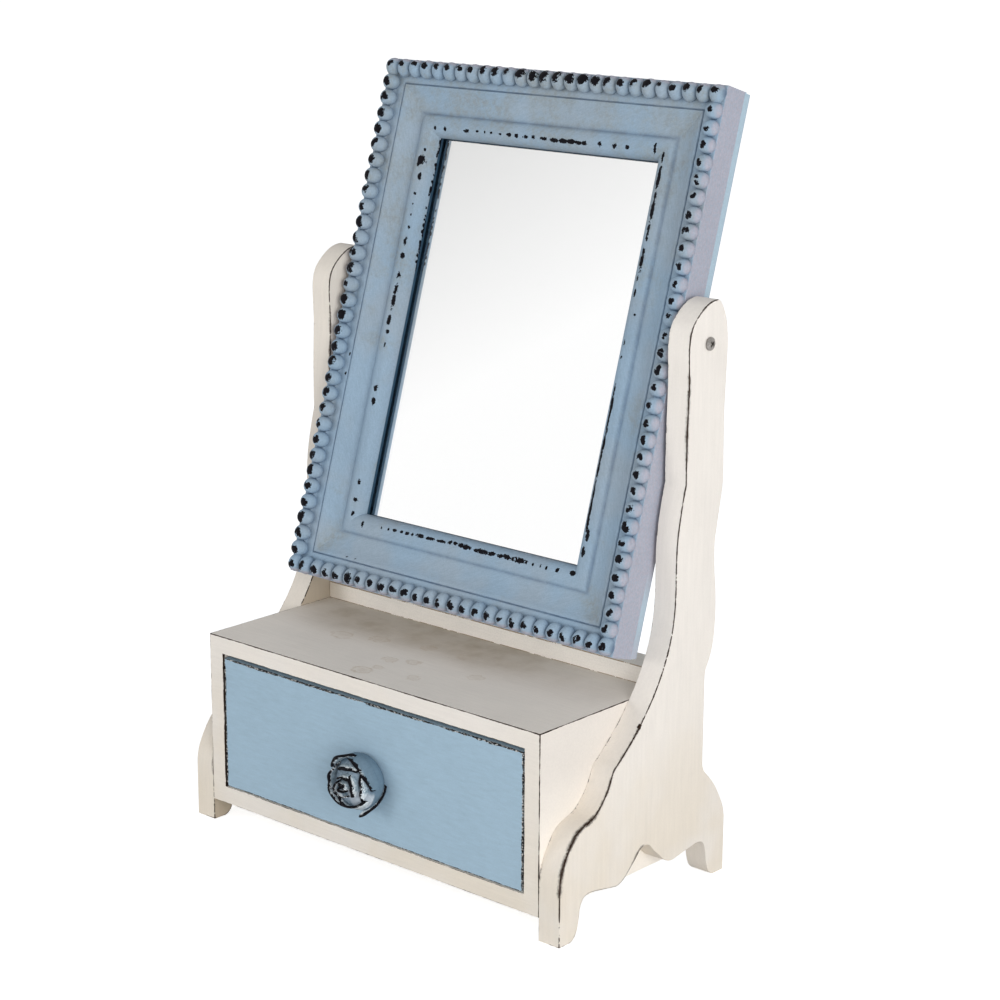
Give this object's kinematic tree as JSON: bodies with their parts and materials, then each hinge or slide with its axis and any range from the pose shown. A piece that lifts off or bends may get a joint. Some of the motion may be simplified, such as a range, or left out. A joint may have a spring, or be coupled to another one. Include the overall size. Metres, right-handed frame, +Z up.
{
  "type": "vanity mirror with drawer",
  "caption": "Tilting mirror in a beaded, mitred frame, held between scrolled side panels above a low box with one drawer and a rose knob.",
  "frame": {"origin": "on the plane that the feet stand on, under the middle of the whole object's width and depth", "axes": "+Z is up, -Y is out of the drawer front and towards the user, +X is to the right of someone who faces the drawer"},
  "size_m": [0.2488, 0.1682, 0.3798],
  "materials": {
    "cream_paint": "cream chalk paint on wood, rubbed through to dark wood along its edges",
    "blue_paint": "matt blue-grey chalk paint on wood, chipped to dark wood on beads and edges",
    "drawer_wood": "thin cream paint on plain boards",
    "dowel_wood": "bare beech",
    "screw_steel": "dull zinc-plated steel",
    "mirror_glass": "silvered flat glass",
    "card": "grey-brown packing card",
    "knob_resin": "cast resin, blue-grey paint with worn black petal rims"
  },
  "bodies": {
    "stand": {"left_side_panel": "cream_paint", "right_side_panel": "cream_paint", "box_top": "cream_paint", "box_bottom": "cream_paint", "box_left_side": "cream_paint", "box_right_side": "cream_paint", "box_back": "cream_paint", "rear_crossbar": "cream_paint", "crossbar_screws": "screw_steel", "panel_fixing_screws": "screw_steel", "box_corner_dowels": "dowel_wood"},
    "mirror": {"frame_top_rail": "blue_paint", "frame_bottom_rail": "blue_paint", "frame_left_stile": "blue_paint", "frame_right_stile": "blue_paint", "mirror_glass": "mirror_glass", "packing_card": "card", "back_board": "blue_paint", "back_board_screws": "screw_steel", "left_pivot_screw": "screw_steel", "right_pivot_screw": "screw_steel", "left_pivot_washer": "screw_steel", "right_pivot_washer": "screw_steel"},
    "drawer": {"drawer_front": "blue_paint", "drawer_left_side": "drawer_wood", "drawer_right_side": "drawer_wood", "drawer_back": "drawer_wood", "drawer_bottom": "drawer_wood", "drawer_back_pins": "screw_steel", "rose_knob": "knob_resin", "knob_screw": "screw_steel", "knob_washer": "screw_steel"}
  },
  "joints": [
    {"name": "mirror_tilt", "type": "hinge", "parent": "stand", "child": "mirror", "pos_m": [0, 0.03726, 0.2655], "axis": [1, 0, 0], "continuous": true},
    {"name": "drawer_slide", "type": "slide", "parent": "stand", "child": "drawer", "axis": [0, -1, 0], "range_m": [0, 0.085]}
  ]
}
